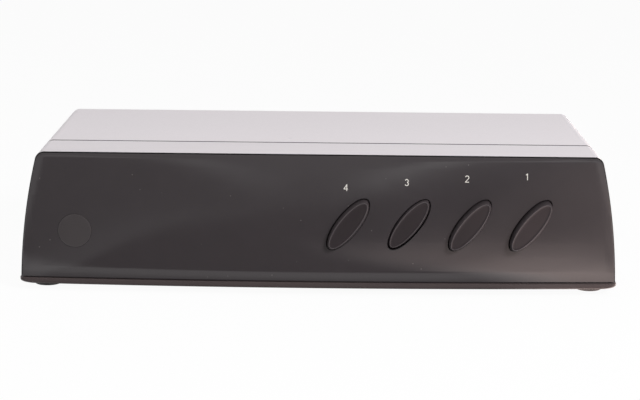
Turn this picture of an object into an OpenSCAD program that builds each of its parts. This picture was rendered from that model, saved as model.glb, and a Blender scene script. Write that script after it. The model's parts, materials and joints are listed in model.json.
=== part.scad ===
// Speaker selector switch: a low desktop case with four push-push buttons on
// its front and five rows of spring terminals on its back.
// X points right as seen from the front, Y to the back, Z up. The case stands
// on z = 0. Inside the modules Y is counted from the top edge of the front.

/* [Case] */
// Width of the case across its foot
case_w = 250; // [244:1:290]
// Height of the case, feet included
case_h = 59; // [56:0.5:70]
// Depth of the case, from the top edge of the front to the back edge of the cover
case_d = 130; // [126:1:170]
// How far each side leans in by the top
side_draw = 7.2; // [5:0.2:8]
// Radius of the two long shoulders
shoulder_r = 4; // [3:0.25:6]
// Wall of the cover and of the tray
wall = 2.2; // [1.8:0.1:2.6]
// Gap in every seam between two shells
seam_gap = 0.3; // [0.2:0.05:0.5]
// Distance of the groove across the cover behind the front
groove_y = 32; // [20:1:50]
// Width of the groove across the cover
groove_w = 1.4; // [1:0.1:2]
// Depth of the groove across the cover
groove_depth = 0.8; // [0.5:0.1:1.2]

/* [Front panel] */
// Thickness of the front panel
panel_t = 2.5; // [2:0.1:3]
// How far the foot of the front bows forward at its middle
face_bow = 4.6; // [2:0.2:6]
// Thickness of the panel's edge that shows in front of the cover
panel_land = 0.8; // [0.6:0.1:1.2]
// Depth of the panel's rim inside the cover
rim_depth = 8; // [6:0.5:12]
// Thickness of the panel's rim
rim_t = 1.8; // [1.4:0.1:2.2]
// Distance of the blanking plug from the left side
plug_inset = 23; // [20:0.2:36]
// Height of the blanking plug
plug_z = 26; // [20:0.2:40]
// Diameter of the blanking plug
plug_d = 13.8; // [10:0.2:15]

/* [Base] */
// Height of the feet
foot_h = 3; // [2.5:0.1:4]
// Diameter of the feet
foot_d = 11.5; // [9:0.5:13]
// Distance of the feet from the sides
foot_side_inset = 9.6; // [9:0.2:14]
// Distance of the feet from the front and the back
foot_end_inset = 14.4; // [12:0.2:16]
// Depth of the recess that each foot is glued into
foot_recess = 0.6; // [0.4:0.1:1]
// Height of the tray's lip that shows below the cover
lip_h = 2.7; // [2.5:0.1:4]
// How far the tray's lip stands out past the cover
lip_out = 0.5; // [0.3:0.1:0.8]
// Radius of the tray's upright corners
lip_corner_r = 3; // [2:0.5:6]
// Height of the tongue inside the cover
tongue_h = 4; // [3:0.5:6]
// Thickness of the tongue and of the ribs that hold the rear panel
rib_t = 1.5; // [1.2:0.1:2]

/* [Buttons] */
// Distance of the rightmost button from the right side
button_inset = 36.6; // [30:0.2:46]
// Distance from one button to the next
button_pitch = 25.4; // [23:0.2:27]
// Height of the buttons
button_z = 30.2; // [28:0.2:34]
// Length of the oval caps
button_l = 25.4; // [20:0.2:28]
// Width of the oval caps
button_w = 9; // [8.4:0.2:10]
// Tilt of the caps from the horizontal
button_tilt = 52; // [40:1:65]
// Gap between a cap and its hole
button_gap = 0.3; // [0.2:0.05:0.5]
// Distance of a released cap's face in front of the panel's top edge
button_reach = 6.3; // [5.5:0.1:7.5]
// Length of a cap from front to back
cap_depth = 11; // [10:0.5:13]
// Distance that a latched button stays in
latch_travel = 4; // [3:0.2:4.4]
// Distance that a button moves when it is pushed right in
full_travel = 5; // [4.6:0.2:5.6]
// Which button is latched in, or none
latched_button = 3; // [0, 1, 2, 3, 4]

/* [Switches] */
// Length of a switch body
switch_l = 30; // [26:1:36]
// Width of a switch body
switch_w = 14; // [12:0.5:17]
// Height of a switch body
switch_h = 11; // [10:0.5:13]
// Distance of the switch bodies behind the front
switch_y = 20; // [19:0.5:24]
// Side of the square plunger
plunger_w = 4; // [3.6:0.1:4.4]
// Gap on each side of the plunger in its switch body
plunger_gap = 0.15; // [0.1:0.05:0.25]
// Diameter of the collar that the spring pushes against
collar_d = 7.8; // [7.6:0.1:8.4]
// Thickness of the collar
collar_t = 1.2; // [1:0.1:1.6]
// Diameter of the return spring's wire
wire_d = 0.5; // [0.4:0.05:0.6]
// Diameter of the return spring along the middle of its wire
spring_d = 6.7; // [6.5:0.05:6.9]
// Number of turns of the return spring
spring_turns = 7; // [5:1:8]

/* [Circuit board] */
// Thickness of the circuit board
board_t = 1.6; // [1.2:0.2:2]
// Gap between the circuit board and the sides of the cover
board_gap = 7; // [6:0.5:10]
// Diameter of the tray's board pillars
pillar_d = 7; // [6:0.5:8]
// Distance of the pillars from the sides
pillar_inset = 24; // [23:0.5:25]
// Distance of the front pillars behind the board's front edge
front_pillar_inset = 20; // [18:0.5:28]
// Distance of the rear pillars in front of the terminals
rear_pillar_inset = 8; // [6:0.5:10]

/* [Terminals] */
// Gap between the outermost terminals and the sides of the cover
row_gap = 4.3; // [3.4:0.1:6]
// Thickness of the walls between two levers
partition_t = 1.7; // [1.4:0.1:2.2]
// Gap on each side of a lever
lever_gap = 0.2; // [0.15:0.05:0.3]
// How far the levers stand out of the terminal's face
lever_reach = 8; // [6:0.5:10]
// Diameter of the levers' pivot stubs
pivot_d = 2; // [1.6:0.1:2.4]
// Radial clearance of the pivot stubs
pivot_gap = 0.05; // [0.03:0.01:0.08]
// Height of a terminal's body
terminal_h = 22; // [21:0.5:24]
// Depth of a terminal's body behind the rear panel
terminal_depth = 13; // [12.5:0.5:16]
// Width of a terminal's screw ear
ear_w = 4.5; // [4.4:0.1:5]
// Thickness of a terminal's flange
flange_t = 1.6; // [1.2:0.1:2.2]
// Gap between neighbouring flanges
flange_gap = 0.5; // [0.3:0.1:1]
// Width of a wire slot
slot_w = 3.2; // [2.4:0.1:3.6]
// Height of a wire slot
slot_h = 3.6; // [2.4:0.1:3.8]
// Thickness of the contact strips
strip_t = 0.5; // [0.3:0.05:0.6]
// Thickness of the rear panel
rear_t = 2; // [1.6:0.1:2.6]

/* [Screws] */
// Diameter of the case screws
case_screw_d = 3; // [2.6:0.1:3.4]
// Diameter of the board screws
board_screw_d = 2.9; // [2.5:0.1:3.2]
// Diameter of the terminal screws
terminal_screw_d = 2.6; // [2.2:0.1:2.8]
// Play of a screw's shank in what it passes through or bites
screw_play = 0.1; // [0.06:0.02:0.2]
// Distance of the case screws from the sides
case_screw_inset = 18; // [17:0.5:20]
// Distance of the front case screws behind the front
front_screw_y = 24; // [23:0.5:26]
// Distance of the back case screws in front of the cover's back edge
rear_screw_y = 40; // [37:0.5:48]
// Diameter of the posts round the case screws
post_d = 7; // [6.6:0.1:7.4]

/* [Hidden] */
$fn = 40;
WAYS = ["left_minus", "left_plus", "right_minus", "right_plus"];
BLOCKS = ["amp", "1", "2", "3", "4"];

// Colours
SILVER = [0.85, 0.83, 0.84];
CHARCOAL = [0.25, 0.23, 0.24];
BLACK = [0.10, 0.10, 0.11];
RUBBER = [0.16, 0.16, 0.16];
STEEL = [0.72, 0.73, 0.75];
BRASS = [0.80, 0.68, 0.40];
BOARD = [0.62, 0.44, 0.24];
IVORY = [0.88, 0.86, 0.78];
RED = [0.72, 0.10, 0.09];

// Case outline: sides are arcs that stand upright on the table
side_r = (case_h * case_h + side_draw * side_draw) / (2 * side_draw);
side_steps = 10;
shoulder_steps = 6;
least_r = 0.5;
// How far a cutting shape runs past what it cuts
over = 1;
seam_z = foot_h + lip_h;
floor_z = foot_h + wall;
shell_in = wall + seam_gap;

// Tray and cover
tongue_top = seam_z + tongue_h;
rear_slot_gap = 0.2;
rear_y = case_d - rib_t - rear_slot_gap;
rear_slot = [rear_y - rear_t - rear_slot_gap, rear_y + rear_slot_gap];
rib_h = 1.8;
rear_rib_inset = 1;
post_join = 14;
post_wall = 1;

// Buttons and switches
latch_gap = 0.5;
board_z = button_z - switch_h / 2;
cap_back = cap_depth - button_reach;
collar_y = cap_back + latch_gap;
socket_depth = 7;
socket_gap = 0.1;
socket_end_gap = 0.3;
plunger_in = 12;
cavity_spare = 5;
cavity_l = plunger_in + full_travel + cavity_spare;
cap_wall = 1.2;
lid_inset = 2;
lid_rise = 0.8;
side_groove = 0.6;
side_groove_in = 4;
spring_end_gap = 0.1;

// Blanking plug
plug_x = case_w / 2 - plug_inset;
plug_gap = 0.15;
plug_lip = 1.4;
plug_face = 1.5;
plug_wall = 1.5;
plug_barb = 0.7;
plug_barb_gap = 0.2;

// Circuit board
board_front = switch_y - 1.5;
board_back_gap = 0.5;
board_back = rear_y - rear_t - board_back_gap;
notch_gap = 1.2;

// Terminals: heights are counted from the board. The row fills the space between the cover's sides
block_wall = 0.8;
block_roof = 2.8;
flange_over = 1;
cutout_gap = 0.2;
row_half = half_width(board_z + terminal_h + flange_over, shell_in) - row_gap;
block_pitch = (2 * row_half + flange_gap) / len(BLOCKS);
flange_half = (block_pitch - flange_gap) / 2;
body_half = flange_half - ear_w;
lever_pitch = (body_half - block_wall) / 2;
chamber_w = lever_pitch - partition_t;
lever_w = chamber_w - 2 * lever_gap;
chamber_low = 8.2;
chamber_top = terminal_h - block_roof;
pivot_drop = 4.7;
pivot_z = chamber_top - pivot_drop;
pivot_in = 3.5;
stub_end_gap = 0.1;
stub_l = partition_t / 2 - stub_end_gap;
slot_z = 2.2;
strip_in = 9.5;
strip_w = 4.6;
strip_gap = 0.3;
tail_w = 1;
tail_gap = 0.2;
tail_below = 1.6;
block_floor = 1.2;

// A lever as seen from the side, counted from its pivot
heel_l = 5.5;
heel_low = -0.9;
heel_high = 1;
belly_z = -1.6;
back_z = 3.8;
tab_low = 0.1;
tab_high = 2.7;

// Screws
case_head_d = 5.8;
case_head_h = 2;
case_grip = 10;
head_play = 0.3;
board_head_d = 5.4;
board_head_h = 1.8;
board_grip = 8;
terminal_head_d = 4.4;
terminal_head_h = 1.5;
terminal_grip = 7;
recess_w = 0.7;
recess_depth = 0.8;

// The whole part is centred on the origin
lever_tip = rear_y + flange_t + lever_reach;
foremost = max(button_reach, face_bow + lip_out);
front_y = -(lever_tip - foremost) / 2;

// Half width of the case at height z, drawn in by inset
function half_width(z, inset) = case_w / 2 - side_r + sqrt(pow(side_r - inset, 2) - z * z);
rear_slot_half = half_width(floor_z, wall);

// Outline of the case as seen from the front, from z_low up, drawn in by inset
function case_outline(inset, z_low) =
    let(r = max(shoulder_r - inset, least_r))
    let(big = side_r - inset)
    let(cz = case_h - inset - r)
    let(mid = case_w / 2 - side_r)
    let(cx = mid + sqrt(pow(big - r, 2) - cz * cz))
    let(meet = asin(cz / (big - r)))
    let(low = asin(z_low / big))
    let(side = [for (i = [0:side_steps]) low + (meet - low) * i / side_steps])
    let(turn = [for (i = [1:shoulder_steps]) meet + (90 - meet) * i / shoulder_steps])
    let(right = concat(
        [for (a = side) [mid + big * cos(a), big * sin(a)]],
        [for (a = turn) [cx + r * cos(a), cz + r * sin(a)]]))
    concat(right, [for (i = [len(right) - 1:-1:0]) [-right[i][0], right[i][1]]]);

// How far the front bows forward at x, as a share of its height below the top
function bow(x) = face_bow * (1 - pow(2 * x / case_w, 2));
function face_y(x, z) = -bow(x) * (case_h - z) / (case_h - seam_z);

// An outline as seen from above: half its width, its front and back, the radius of its
// corners and its share of the front's bow
function plan_outline(half, front, back, r, share) =
    let(steps = 24)
    let(low = front + r - share * bow(half - r))
    concat(
        [for (i = [0:steps]) let(x = (half - r) * (2 * i / steps - 1)) [x, front - share * bow(x)]],
        [for (a = [-60:30:0]) [half - r + r * cos(a), low + r * sin(a)]],
        [for (a = [0:30:90]) [half - r + r * cos(a), back - r + r * sin(a)]],
        [for (a = [90:30:180]) [r - half + r * cos(a), back - r + r * sin(a)]],
        [for (a = [180:30:240]) [r - half + r * cos(a), low + r * sin(a)]]
    );

// Outline of the tray, drawn in by inset
function tray_outline(inset) =
    let(r = max(lip_corner_r - inset, least_r))
    plan_outline(case_w / 2 + lip_out - inset, inset - lip_out, case_d - inset, r, 1);

// Outline of the tongue, drawn in by inset: it lies inside the cover, behind the front panel
// and in front of the rear panel
function tongue_outline(inset) =
    let(half = half_width(tongue_top, shell_in) - inset)
    let(share = (case_h - tongue_top) / (case_h - seam_z))
    plan_outline(half, panel_t + seam_gap + inset, rear_slot[0] - inset, least_r, share);

module in_frame() {
    translate([0, front_y, 0]) children();
}

// Extrudes an outline in X and Z from y_from to y_to
module along_y(y_from, y_to) {
    translate([0, y_to, 0]) rotate([90, 0, 0]) linear_extrude(y_to - y_from) children();
}

// Extrudes an outline in Y and Z over a width, centred on x = 0
module across_x(w) {
    translate([-w / 2, 0, 0]) rotate([90, 0, 90]) linear_extrude(w) children();
}

module rod_y(d, y_from, y_to) {
    translate([0, y_to, 0]) rotate([90, 0, 0]) cylinder(d = d, h = y_to - y_from);
}

module block(x, y, z) {
    translate([x[0], y[0], z[0]]) cube([x[1] - x[0], y[1] - y[0], z[1] - z[0]]);
}

// A frame between two case outlines
module ring_y(y_from, y_to, outer, inner, z_low) {
    along_y(y_from, y_to) difference() {
        polygon(case_outline(outer, z_low));
        polygon(case_outline(inner, z_low - 1));
        translate([-case_w, -1]) square([2 * case_w, z_low + 1]);
    }
}

function oval(l, w) = [for (a = [0:7.5:352.5]) [l / 2 * cos(a), w / 2 * sin(a)]];

module oval_bar(l, w, y_from, y_to) {
    along_y(y_from, y_to) rotate(button_tilt) polygon(oval(l, w));
}

// A pan-head screw with a cross recess: its head's seat is at z = 0, its shank points down
module screw(d, grip, head_d, head_h) {
    difference() {
        union() {
            translate([0, 0, -grip]) cylinder(d = d, h = grip);
            cylinder(d = head_d, h = head_h);
        }
        for (turn = [0, 90]) rotate(turn)
            translate([-head_d / 3, -recess_w / 2, head_h - recess_depth])
                cube([2 * head_d / 3, recess_w, recess_depth + 1]);
    }
}

// Places
function button_place(n) = case_w / 2 - button_inset - (n - 1) * button_pitch;
function pushed_in(n) = n == latched_button ? latch_travel : 0;
function block_x(i) = (2 - i) * block_pitch;
function way_x(w) = (w - 1.5) * lever_pitch;
function case_screw_spots() =
    let(x = case_w / 2 - case_screw_inset)
    [for (sx = [-1, 1], y = [front_screw_y, case_d - rear_screw_y]) [sx * x, y]];
function pillar_spots() =
    let(rows = [board_front + front_pillar_inset, board_back - terminal_depth - rear_pillar_inset])
    [for (sx = [-1, 1], y = rows) [sx * (case_w / 2 - pillar_inset), y]];
function foot_spot(sx, back) =
    [sx * (case_w / 2 - foot_side_inset), back ? case_d - foot_end_inset : foot_end_inset];

// Shells

module bottom_tray() {
    in_frame() color(CHARCOAL) difference() {
        union() {
            difference() {
                union() {
                    translate([0, 0, foot_h]) linear_extrude(lip_h) polygon(tray_outline(0));
                    translate([0, 0, foot_h]) linear_extrude(tongue_top - foot_h) polygon(tongue_outline(0));
                }
                translate([0, 0, floor_z]) linear_extrude(tongue_top) polygon(tongue_outline(rib_t));
            }
            for (p = case_screw_spots()) translate([p[0], p[1], foot_h])
                cylinder(d = post_d + 2 * post_wall, h = post_join - foot_h);
            for (p = pillar_spots()) translate([p[0], p[1], foot_h])
                cylinder(d = pillar_d, h = board_z - board_t - foot_h);
            rear_rib();
        }
        block([-rear_slot_half, rear_slot_half], rear_slot, [floor_z, case_h]);
        for (p = case_screw_spots()) translate([p[0], p[1], 0]) case_screw_hole();
        for (p = pillar_spots()) translate([p[0], p[1], board_z - board_t - board_grip])
            cylinder(d = board_screw_d + screw_play, h = board_grip + over);
        for (sx = [-1, 1], back = [false, true]) translate(foot_spot(sx, back))
            cylinder(d = foot_d + 2 * seam_gap, h = foot_h + foot_recess);
    }
}

// A low rib on the tray's back edge holds the rear panel's foot against the tongue
module rear_rib() {
    reach = half_width(tongue_top, shell_in) - rear_rib_inset;
    block([-reach, reach], [rear_slot[1], rear_slot[1] + rib_t], [foot_h, seam_z + rib_h]);
}

// Clearance hole and head pocket of a case screw, from below
module case_screw_hole() {
    cylinder(d = case_head_d + 2 * head_play, h = head_seat_z());
    cylinder(d = case_screw_d + 4 * screw_play, h = post_join + over);
}

function head_seat_z() = post_join - wall;

module top_cover() {
    in_frame() color(SILVER) difference() {
        union() {
            ring_y(panel_land + seam_gap, case_d, 0, wall, seam_z + seam_gap);
            for (y = [rear_slot[0] - rib_t, rear_slot[1]])
                ring_y(y, y + rib_t, wall / 2, wall + rib_h, tongue_top + seam_gap);
            for (p = case_screw_spots()) translate([p[0], p[1], post_join + seam_gap])
                cylinder(d = post_d, h = case_h - wall / 2 - post_join - seam_gap);
        }
        for (p = case_screw_spots()) translate([p[0], p[1], 0])
            cylinder(d = case_screw_d + 2 * screw_play, h = head_seat_z() + case_grip + over);
        ring_y(groove_y, groove_y + groove_w, -over, groove_depth, 0);
    }
}

// A plate whose foot bows forward, from depth y_in to y_out behind its face
module bowed_plate(y_in, y_out) {
    steps = 24;
    reach = case_w / 2 + over;
    xs = [for (i = [0:steps]) -reach + 2 * reach * i / steps];
    z_top = case_h + over;
    n = steps + 1;
    points = concat(
        [for (x = xs) [x, face_y(x, seam_z) + y_in, seam_z]],
        [for (x = xs) [x, face_y(x, z_top) + y_in, z_top]],
        [for (x = xs) [x, face_y(x, z_top) + y_out, z_top]],
        [for (x = xs) [x, face_y(x, seam_z) + y_out, seam_z]]
    );
    around = [for (k = [0:3], i = [0:steps - 1], half = [0, 1])
        let(a = k * n + i)
        let(b = ((k + 1) % 4) * n + i)
        half == 0 ? [a, b, b + 1] : [a, b + 1, a + 1]];
    ends = [[0, 3 * n, 2 * n], [0, 2 * n, n],
        [steps, n + steps, 2 * n + steps], [steps, 2 * n + steps, 3 * n + steps]];
    polyhedron(points, concat(around, ends));
}

module front_panel() {
    foot_z = seam_z + seam_gap;
    in_frame() color(CHARCOAL) difference() {
        union() {
            intersection() {
                bowed_plate(0, panel_t);
                along_y(-face_bow - over, panel_t + over) polygon(case_outline(0, foot_z));
                difference() {
                    block([-case_w, case_w], [-face_bow - over, panel_t + over], [foot_z, case_h]);
                    ring_y(panel_land, panel_t + 2 * over, -over, shell_in, foot_z - over);
                }
            }
            ring_y(panel_land / 2, rim_depth, shell_in, shell_in + rim_t, tongue_top + seam_gap);
        }
        for (n = [1:4]) translate([button_place(n), 0, button_z])
            oval_bar(button_l + 2 * button_gap, button_w + 2 * button_gap, -face_bow - over, rim_depth);
        translate([-plug_x, 0, plug_z]) rod_y(plug_d + 2 * plug_gap, -face_bow - over, rim_depth);
    }
}

// A cup that is flush with the front and snaps in behind it
module blanking_plug() {
    in_frame() color(CHARCOAL) difference() {
        union() {
            plug_slice(plug_d, 0, panel_t + plug_lip);
            plug_slice(plug_d + 2 * plug_barb, panel_t + plug_barb_gap, panel_t + plug_lip);
        }
        plug_slice(plug_d - 2 * plug_wall, plug_face, panel_t + plug_lip + over);
    }
}

module plug_slice(d, y_in, y_out) {
    intersection() {
        bowed_plate(y_in, y_out);
        translate([-plug_x, 0, plug_z]) rod_y(d, -face_bow - over, y_out + over);
    }
}

module rear_panel() {
    low = floor_z + rear_slot_gap;
    reach = body_half + cutout_gap;
    color(BLACK) difference() {
        in_frame() difference() {
            along_y(rear_y - rear_t, rear_y) polygon(case_outline(shell_in, low));
            block([-case_w, case_w], [0, case_d], [0, low]);
        }
        for (i = [0:4]) at_terminal(i) {
            block([-reach, reach], [-rear_t - over, over], [-cutout_gap, terminal_h + cutout_gap]);
            at_ears() rod_y(terminal_screw_d + screw_play, -rear_t - over, over);
        }
    }
}

module foot(sx, back) {
    in_frame() color(RUBBER) translate(foot_spot(sx, back)) cylinder(d = foot_d, h = foot_h + foot_recess);
}

// Screws

module case_screws() {
    in_frame() color(STEEL) for (p = case_screw_spots()) translate([p[0], p[1], head_seat_z()])
        mirror([0, 0, 1]) screw(case_screw_d, case_grip, case_head_d, case_head_h);
}

module board_screws() {
    in_frame() color(STEEL) for (p = pillar_spots())
        translate([p[0], p[1], board_z]) screw(board_screw_d, board_grip, board_head_d, board_head_h);
}

module terminal_screws() {
    color(STEEL) for (i = [0:4]) at_terminal(i) at_ears() translate([0, flange_t, 0]) rotate([-90, 0, 0])
        screw(terminal_screw_d, terminal_grip, terminal_head_d, terminal_head_h);
}

// Circuit board and switches

module circuit_board() {
    reach = half_width(board_z, wall) - board_gap;
    notch = post_d / 2 + notch_gap;
    in_frame() color(BOARD) difference() {
        block([-reach, reach], [board_front, board_back], [board_z - board_t, board_z]);
        for (p = case_screw_spots()) translate([p[0], p[1], 0])
            block([p[0] > 0 ? -notch : -case_w, p[0] > 0 ? case_w : notch], [-notch, notch], [0, case_h]);
        for (p = pillar_spots()) translate([p[0], p[1], 0])
            cylinder(d = board_screw_d + 4 * screw_play, h = case_h);
        for (i = [0:4], w = [0:3]) translate([block_x(i) + way_x(w), rear_y, 0])
            tail_slot(0, case_h);
    }
}

// The slot for a contact's tail
module tail_slot(low, high) {
    half = tail_w / 2 + tail_gap;
    block([-half, half], [-strip_in - strip_t - tail_gap, -strip_in + tail_gap], [low, high]);
}

module switch_body(n) {
    hole = plunger_w / 2 + plunger_gap;
    in_frame() color(BLACK) translate([button_place(n), switch_y, button_z]) difference() {
        union() {
            block([-switch_w / 2, switch_w / 2], [0, switch_l], [-switch_h / 2, switch_h / 2]);
            block([lid_inset - switch_w / 2, switch_w / 2 - lid_inset], [lid_inset, switch_l - lid_inset],
                [0, switch_h / 2 + lid_rise]);
        }
        block([-hole, hole], [-over, cavity_l], [-hole, hole]);
        for (side = [-1, 1]) translate([side * switch_w / 2, 0, 0])
            block([-side_groove, side_groove], [side_groove_in, switch_l - side_groove_in], [-1, 1]);
    }
}

module switch_plunger(n) {
    half = plunger_w / 2;
    in_frame() color(IVORY) translate([button_place(n), pushed_in(n), button_z]) {
        block([-half, half], [cap_back - socket_depth + socket_end_gap, switch_y + plunger_in], [-half, half]);
        rod_y(collar_d, collar_y, collar_y + collar_t);
    }
}

module button(n) {
    socket = plunger_w / 2 + socket_gap;
    rail = plunger_w / 2 + cap_wall;
    hollow_l = button_l - 2 * cap_wall;
    hollow_w = button_w - 2 * cap_wall;
    in_frame() color(BLACK) translate([button_place(n), pushed_in(n), button_z]) difference() {
        oval_bar(button_l, button_w, -button_reach, cap_back);
        difference() {
            oval_bar(hollow_l, hollow_w, cap_wall - button_reach, cap_back + over);
            rotate([0, -button_tilt, 0])
                block([-rail - over, rail + over], [-button_reach, cap_back + 2 * over], [-button_w, button_w]);
        }
        block([-socket, socket], [cap_back - socket_depth, cap_back + over], [-socket, socket]);
    }
}

// One unbroken helix of round wire between the collar and the switch body
module return_spring(n) {
    sides = 6;
    rings_per_turn = 8;
    rest = spring_end_gap + wire_d / 2;
    y_first = collar_y + collar_t + pushed_in(n) + rest;
    y_last = switch_y - rest;
    rings = spring_turns * rings_per_turn;
    points = [for (i = [0:rings], s = [0:sides - 1])
        let(turn = 360 * i / rings_per_turn)
        let(a = 360 * s / sides)
        let(r = spring_d / 2 + wire_d / 2 * cos(a))
        [r * cos(turn), y_first + (y_last - y_first) * i / rings + wire_d / 2 * sin(a), r * sin(turn)]];
    skin = [for (i = [0:rings - 1], s = [0:sides - 1], half = [0, 1])
        let(a = i * sides + s)
        let(b = i * sides + (s + 1) % sides)
        half == 0 ? [a, b, b + sides] : [a, b + sides, a + sides]];
    caps = [for (s = [1:sides - 2], end = [0, 1])
        end == 0 ? [0, s + 1, s] : [rings * sides, rings * sides + s, rings * sides + s + 1]];
    in_frame() color(STEEL) translate([button_place(n), 0, button_z]) polyhedron(points, concat(skin, caps));
}

// Terminals: y = 0 is the rear panel's outer face, z = 0 the board

module at_terminal(i) {
    in_frame() translate([block_x(i), rear_y, board_z]) children();
}

// The two screw ears of one terminal
module at_ears() {
    for (side = [-1, 1]) translate([side * (flange_half - ear_w / 2), 0, terminal_h / 2]) children();
}

module terminal_block(i) {
    strip_cut = strip_w / 2 + strip_gap;
    strip_space = [-strip_in - strip_t - strip_gap, -strip_in + strip_gap];
    at_terminal(i) color(BLACK) difference() {
        union() {
            block([-body_half, body_half], [-terminal_depth, flange_t / 2], [0, terminal_h]);
            block([-flange_half, flange_half], [0, flange_t], [-flange_over, terminal_h + flange_over]);
        }
        for (w = [0:3]) translate([way_x(w), 0, 0]) {
            block([-chamber_w / 2, chamber_w / 2], [strip_space[0], flange_t + over],
                [chamber_low, chamber_top]);
            block([-slot_w / 2, slot_w / 2], [-strip_in, flange_t + over], [slot_z, slot_z + slot_h]);
            block([-strip_cut, strip_cut], strip_space, [block_floor, chamber_low + over]);
            tail_slot(-over, block_floor + over);
        }
        translate([-2 * lever_pitch, -pivot_in, pivot_z]) rotate([0, 90, 0])
            cylinder(d = pivot_d + 2 * pivot_gap, h = 4 * lever_pitch);
        at_ears() rod_y(terminal_screw_d + screw_play, -over, flange_t + over);
    }
}

module terminal_contacts(i) {
    across = [-strip_in - strip_t, -strip_in];
    at_terminal(i) color(BRASS) for (w = [0:3]) translate([way_x(w), 0, 0]) {
        block([-strip_w / 2, strip_w / 2], across, [block_floor + tail_gap, chamber_top - strip_gap]);
        block([-tail_w / 2, tail_w / 2], across, [-board_t - tail_below, block_floor + 2 * tail_gap]);
    }
}

// A lever pivots on two stubs. Its tab stands out of the block, its heel points at the strip
module lever(i, w) {
    face = pivot_in + flange_t;
    tip = face + lever_reach;
    side_view = [
        [-heel_l, heel_low], [-2, belly_z], [face, belly_z + 0.2],
        [tip - 0.6, tab_low], [tip, tab_low + 0.7], [tip, tab_high - 0.7], [tip - 1, tab_high],
        [tip - 2.5, tab_high - 0.3], [face + 1, back_z - 0.4], [1, back_z], [-2.2, back_z - 0.6],
        [-heel_l, heel_high]
    ];
    at_terminal(i) color(w % 2 == 1 ? RED : BLACK) translate([way_x(w), -pivot_in, pivot_z]) {
        across_x(lever_w) polygon(side_view);
        rotate([0, 90, 0]) translate([0, 0, -lever_w / 2 - lever_gap - stub_l])
            cylinder(d = pivot_d, h = lever_w + 2 * (lever_gap + stub_l));
    }
}

bottom_tray();
top_cover();
front_panel();
rear_panel();
blanking_plug();
foot(-1, false);  // foot_front_left
foot(1, false);  // foot_front_right
foot(-1, true);  // foot_rear_left
foot(1, true);  // foot_rear_right
case_screws();
board_screws();
terminal_screws();
circuit_board();
for (n = [1:4]) {
    button(n);
    switch_plunger(n);
    return_spring(n);
    switch_body(n);
}
for (i = [0:4]) {
    terminal_block(i);
    terminal_contacts(i);
    for (w = [0:3])
        lever(i, w);
}
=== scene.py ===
"""Speaker selector switch: the finished surfaces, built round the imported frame."""

import json
import math

import bmesh
import bpy
from bpy.props import FloatProperty, PointerProperty, StringProperty
from mathutils import Matrix, Vector


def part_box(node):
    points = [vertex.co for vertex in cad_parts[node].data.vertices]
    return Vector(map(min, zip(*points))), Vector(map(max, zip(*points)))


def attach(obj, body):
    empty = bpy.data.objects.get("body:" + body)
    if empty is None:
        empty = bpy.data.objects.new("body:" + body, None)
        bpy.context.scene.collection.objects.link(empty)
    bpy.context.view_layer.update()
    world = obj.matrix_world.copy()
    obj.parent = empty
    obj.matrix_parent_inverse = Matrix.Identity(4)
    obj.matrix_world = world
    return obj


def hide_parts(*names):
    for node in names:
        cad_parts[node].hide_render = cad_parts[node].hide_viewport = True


bl_info = {
    "name": "Speaker selector switch",
    "version": (1, 0, 0),
    "blender": (4, 5, 0),
    "location": "View3D > Sidebar > Selector",
    "description": "Builds the case, buttons, terminals and finishes of a speaker selector",
    "category": "Object",
}

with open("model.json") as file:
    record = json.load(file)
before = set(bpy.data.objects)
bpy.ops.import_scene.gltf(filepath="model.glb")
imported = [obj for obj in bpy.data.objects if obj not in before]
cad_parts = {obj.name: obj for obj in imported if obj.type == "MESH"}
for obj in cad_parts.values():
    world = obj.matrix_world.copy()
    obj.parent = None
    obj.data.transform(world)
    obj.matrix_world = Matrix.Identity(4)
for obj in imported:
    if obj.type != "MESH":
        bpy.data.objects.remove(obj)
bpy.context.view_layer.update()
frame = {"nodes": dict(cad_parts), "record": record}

MM = 0.001
BLOCKS = ("amp", "1", "2", "3", "4")
WAYS = ("left_minus", "left_plus", "right_minus", "right_plus")
FEET = ("front_left", "front_right", "rear_left", "rear_right")
BUTTONS = (1, 2, 3, 4)

# Points closer than this, in metres, are one point, and cuts and seams meet within this distance
TOUCHING, NEARBY = 1e-7, 1e-6
# Edges sharper than the first stay crisp in the shading, and sharper than the second get a bevel
SHARP_ANGLE, BEVEL_ANGLE = math.radians(35), math.radians(25)
# Bridged rings that would lie in one plane stand this far apart, so that they join without a twist
RING_STEP = 0.01 * MM

# Where the frame puts the fronts and backs that the new pieces keep to
COVER_LOW, COVER_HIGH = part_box("top_cover")
TRAY_LOW, TRAY_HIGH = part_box("bottom_tray")
PANEL_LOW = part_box("front_panel")[0]


def length(name, description, default):
    """A size in metres, given here in millimetres."""
    return FloatProperty(
        name=name, description=description, default=default * MM, min=0, unit="LENGTH", precision=5)


def colour(name, description, default):
    """A colour as an sRGB hex value."""
    return StringProperty(name=name, description=description, default=default)


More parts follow.
